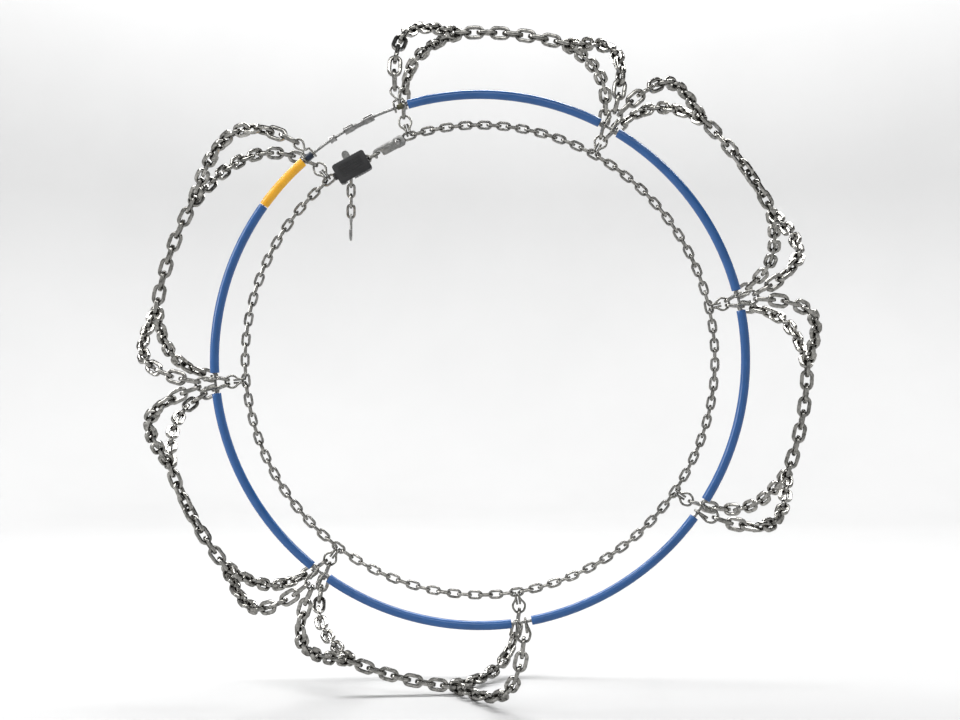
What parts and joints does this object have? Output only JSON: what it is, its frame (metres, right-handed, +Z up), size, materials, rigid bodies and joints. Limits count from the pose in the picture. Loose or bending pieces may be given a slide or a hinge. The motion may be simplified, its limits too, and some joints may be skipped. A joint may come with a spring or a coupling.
{
  "type": "tire snow chain",
  "caption": "Snow chain for one tyre in its fitted shape: sleeved cable hoop inboard, chain net over the tread, side chain with closing hook and tensioner outboard.",
  "frame": {"origin": "centre of the wheel that the chain is fitted to, in the middle plane of the tyre", "axes": "+Y along the wheel's axis towards the outboard side, +Z up"},
  "size_m": [0.7703, 0.2755, 0.7716],
  "materials": {
    "chain_steel": "galvanised, satin to bright",
    "clip_wire": "galvanised wire, satin",
    "plate_steel": "zinc plated, satin",
    "bright_steel": "nickel plated, bright",
    "cable_steel": "stranded cable, satin",
    "blue_plastic": "glossy",
    "yellow_plastic": "satin gloss",
    "navy_plastic": "glossy",
    "dull_brass": "dull brass colour",
    "black_plastic": "moulded, matt"
  },
  "bodies": {
    "chain_net": {"inner_cable": "cable_steel", "blue_sleeve_1": "blue_plastic", "blue_sleeve_2": "blue_plastic", "blue_sleeve_3": "blue_plastic", "blue_sleeve_4": "blue_plastic", "blue_sleeve_5": "blue_plastic", "blue_sleeve_6": "blue_plastic", "blue_sleeve_7": "blue_plastic", "yellow_sleeve": "yellow_plastic", "first_bush": "dull_brass", "last_bush": "navy_plastic", "end_clip_1": "clip_wire", "cable_clip_2": "clip_wire", "cable_clip_3": "clip_wire", "cable_clip_4": "clip_wire", "cable_clip_5": "clip_wire", "cable_clip_6": "clip_wire", "cable_clip_7": "clip_wire", "end_clip_8": "clip_wire", "side_clip_1": "clip_wire", "side_clip_2": "clip_wire", "side_clip_3": "clip_wire", "side_clip_4": "clip_wire", "side_clip_5": "clip_wire", "side_clip_6": "clip_wire", "side_clip_7": "clip_wire", "side_clip_8": "clip_wire", "stop_ferrule": "bright_steel", "inner_branch_1a": "chain_steel", "inner_branch_1b": "chain_steel", "tread_strand_1": "chain_steel", "inner_branch_2a": "chain_steel", "inner_branch_2b": "chain_steel", "tread_strand_2": "chain_steel", "inner_branch_3a": "chain_steel", "inner_branch_3b": "chain_steel", "tread_strand_3": "chain_steel", "inner_branch_4a": "chain_steel", "inner_branch_4b": "chain_steel", "tread_strand_4": "chain_steel", "inner_branch_5a": "chain_steel", "inner_branch_5b": "chain_steel", "tread_strand_5": "chain_steel", "inner_branch_6a": "chain_steel", "inner_branch_6b": "chain_steel", "tread_strand_6": "chain_steel", "side_chain": "chain_steel", "tension_link_1": "chain_steel", "tension_link_2": "chain_steel", "exit_link": "chain_steel", "hook_clevis": "plate_steel", "cam_pin": "bright_steel", "tensioner_housing": "black_plastic"},
    "lock_barrel": {"lock_barrel": "bright_steel"},
    "closing_hook": {"closing_hook": "plate_steel"},
    "tensioner_cam": {"tensioner_cam": "plate_steel"},
    "tail_link_1": {"tail_link_1": "chain_steel"},
    "tail_link_2": {"tail_link_2": "chain_steel"},
    "tail_link_3": {"tail_link_3": "chain_steel"},
    "end_hook": {"end_hook": "plate_steel"}
  },
  "joints": [
    {"name": "lock_slide", "type": "slide", "parent": "chain_net", "child": "lock_barrel", "axis": [-0.8898, 0, -0.4563], "range_m": [0, 0.008], "stiffness_N_per_m": 300, "springref_m": -0.003},
    {"name": "closing_hook_swing", "type": "hinge", "parent": "chain_net", "child": "closing_hook", "pos_m": [-0.1013, 0.128, 0.26885], "axis": [0, 1, 0], "range_deg": [0, 60]},
    {"name": "cam_release", "type": "hinge", "parent": "chain_net", "child": "tensioner_cam", "pos_m": [-0.15929, 0.128, 0.24045], "axis": [0, 1, 0], "range_deg": [-30, 0], "stiffness_Nm_per_rad": 0.02, "springref_deg": 20.05},
    {"name": "tail_swing_1", "type": "hinge", "parent": "chain_net", "child": "tail_link_1", "pos_m": [-0.1591, 0.128, 0.21352], "axis": [0, 1, 0], "range_deg": [-40, 25]},
    {"name": "tail_swing_2", "type": "hinge", "parent": "tail_link_1", "child": "tail_link_2", "pos_m": [-0.1591, 0.128, 0.20082], "axis": [1, 0, 0], "range_deg": [-20, 45]},
    {"name": "tail_swing_3", "type": "hinge", "parent": "tail_link_2", "child": "tail_link_3", "pos_m": [-0.1591, 0.128, 0.18812], "axis": [0, 1, 0], "range_deg": [-40, 25]},
    {"name": "end_hook_swing", "type": "hinge", "parent": "tail_link_3", "child": "end_hook", "pos_m": [-0.1591, 0.128, 0.17542], "axis": [1, 0, 0], "range_deg": [-20, 45]}
  ]
}
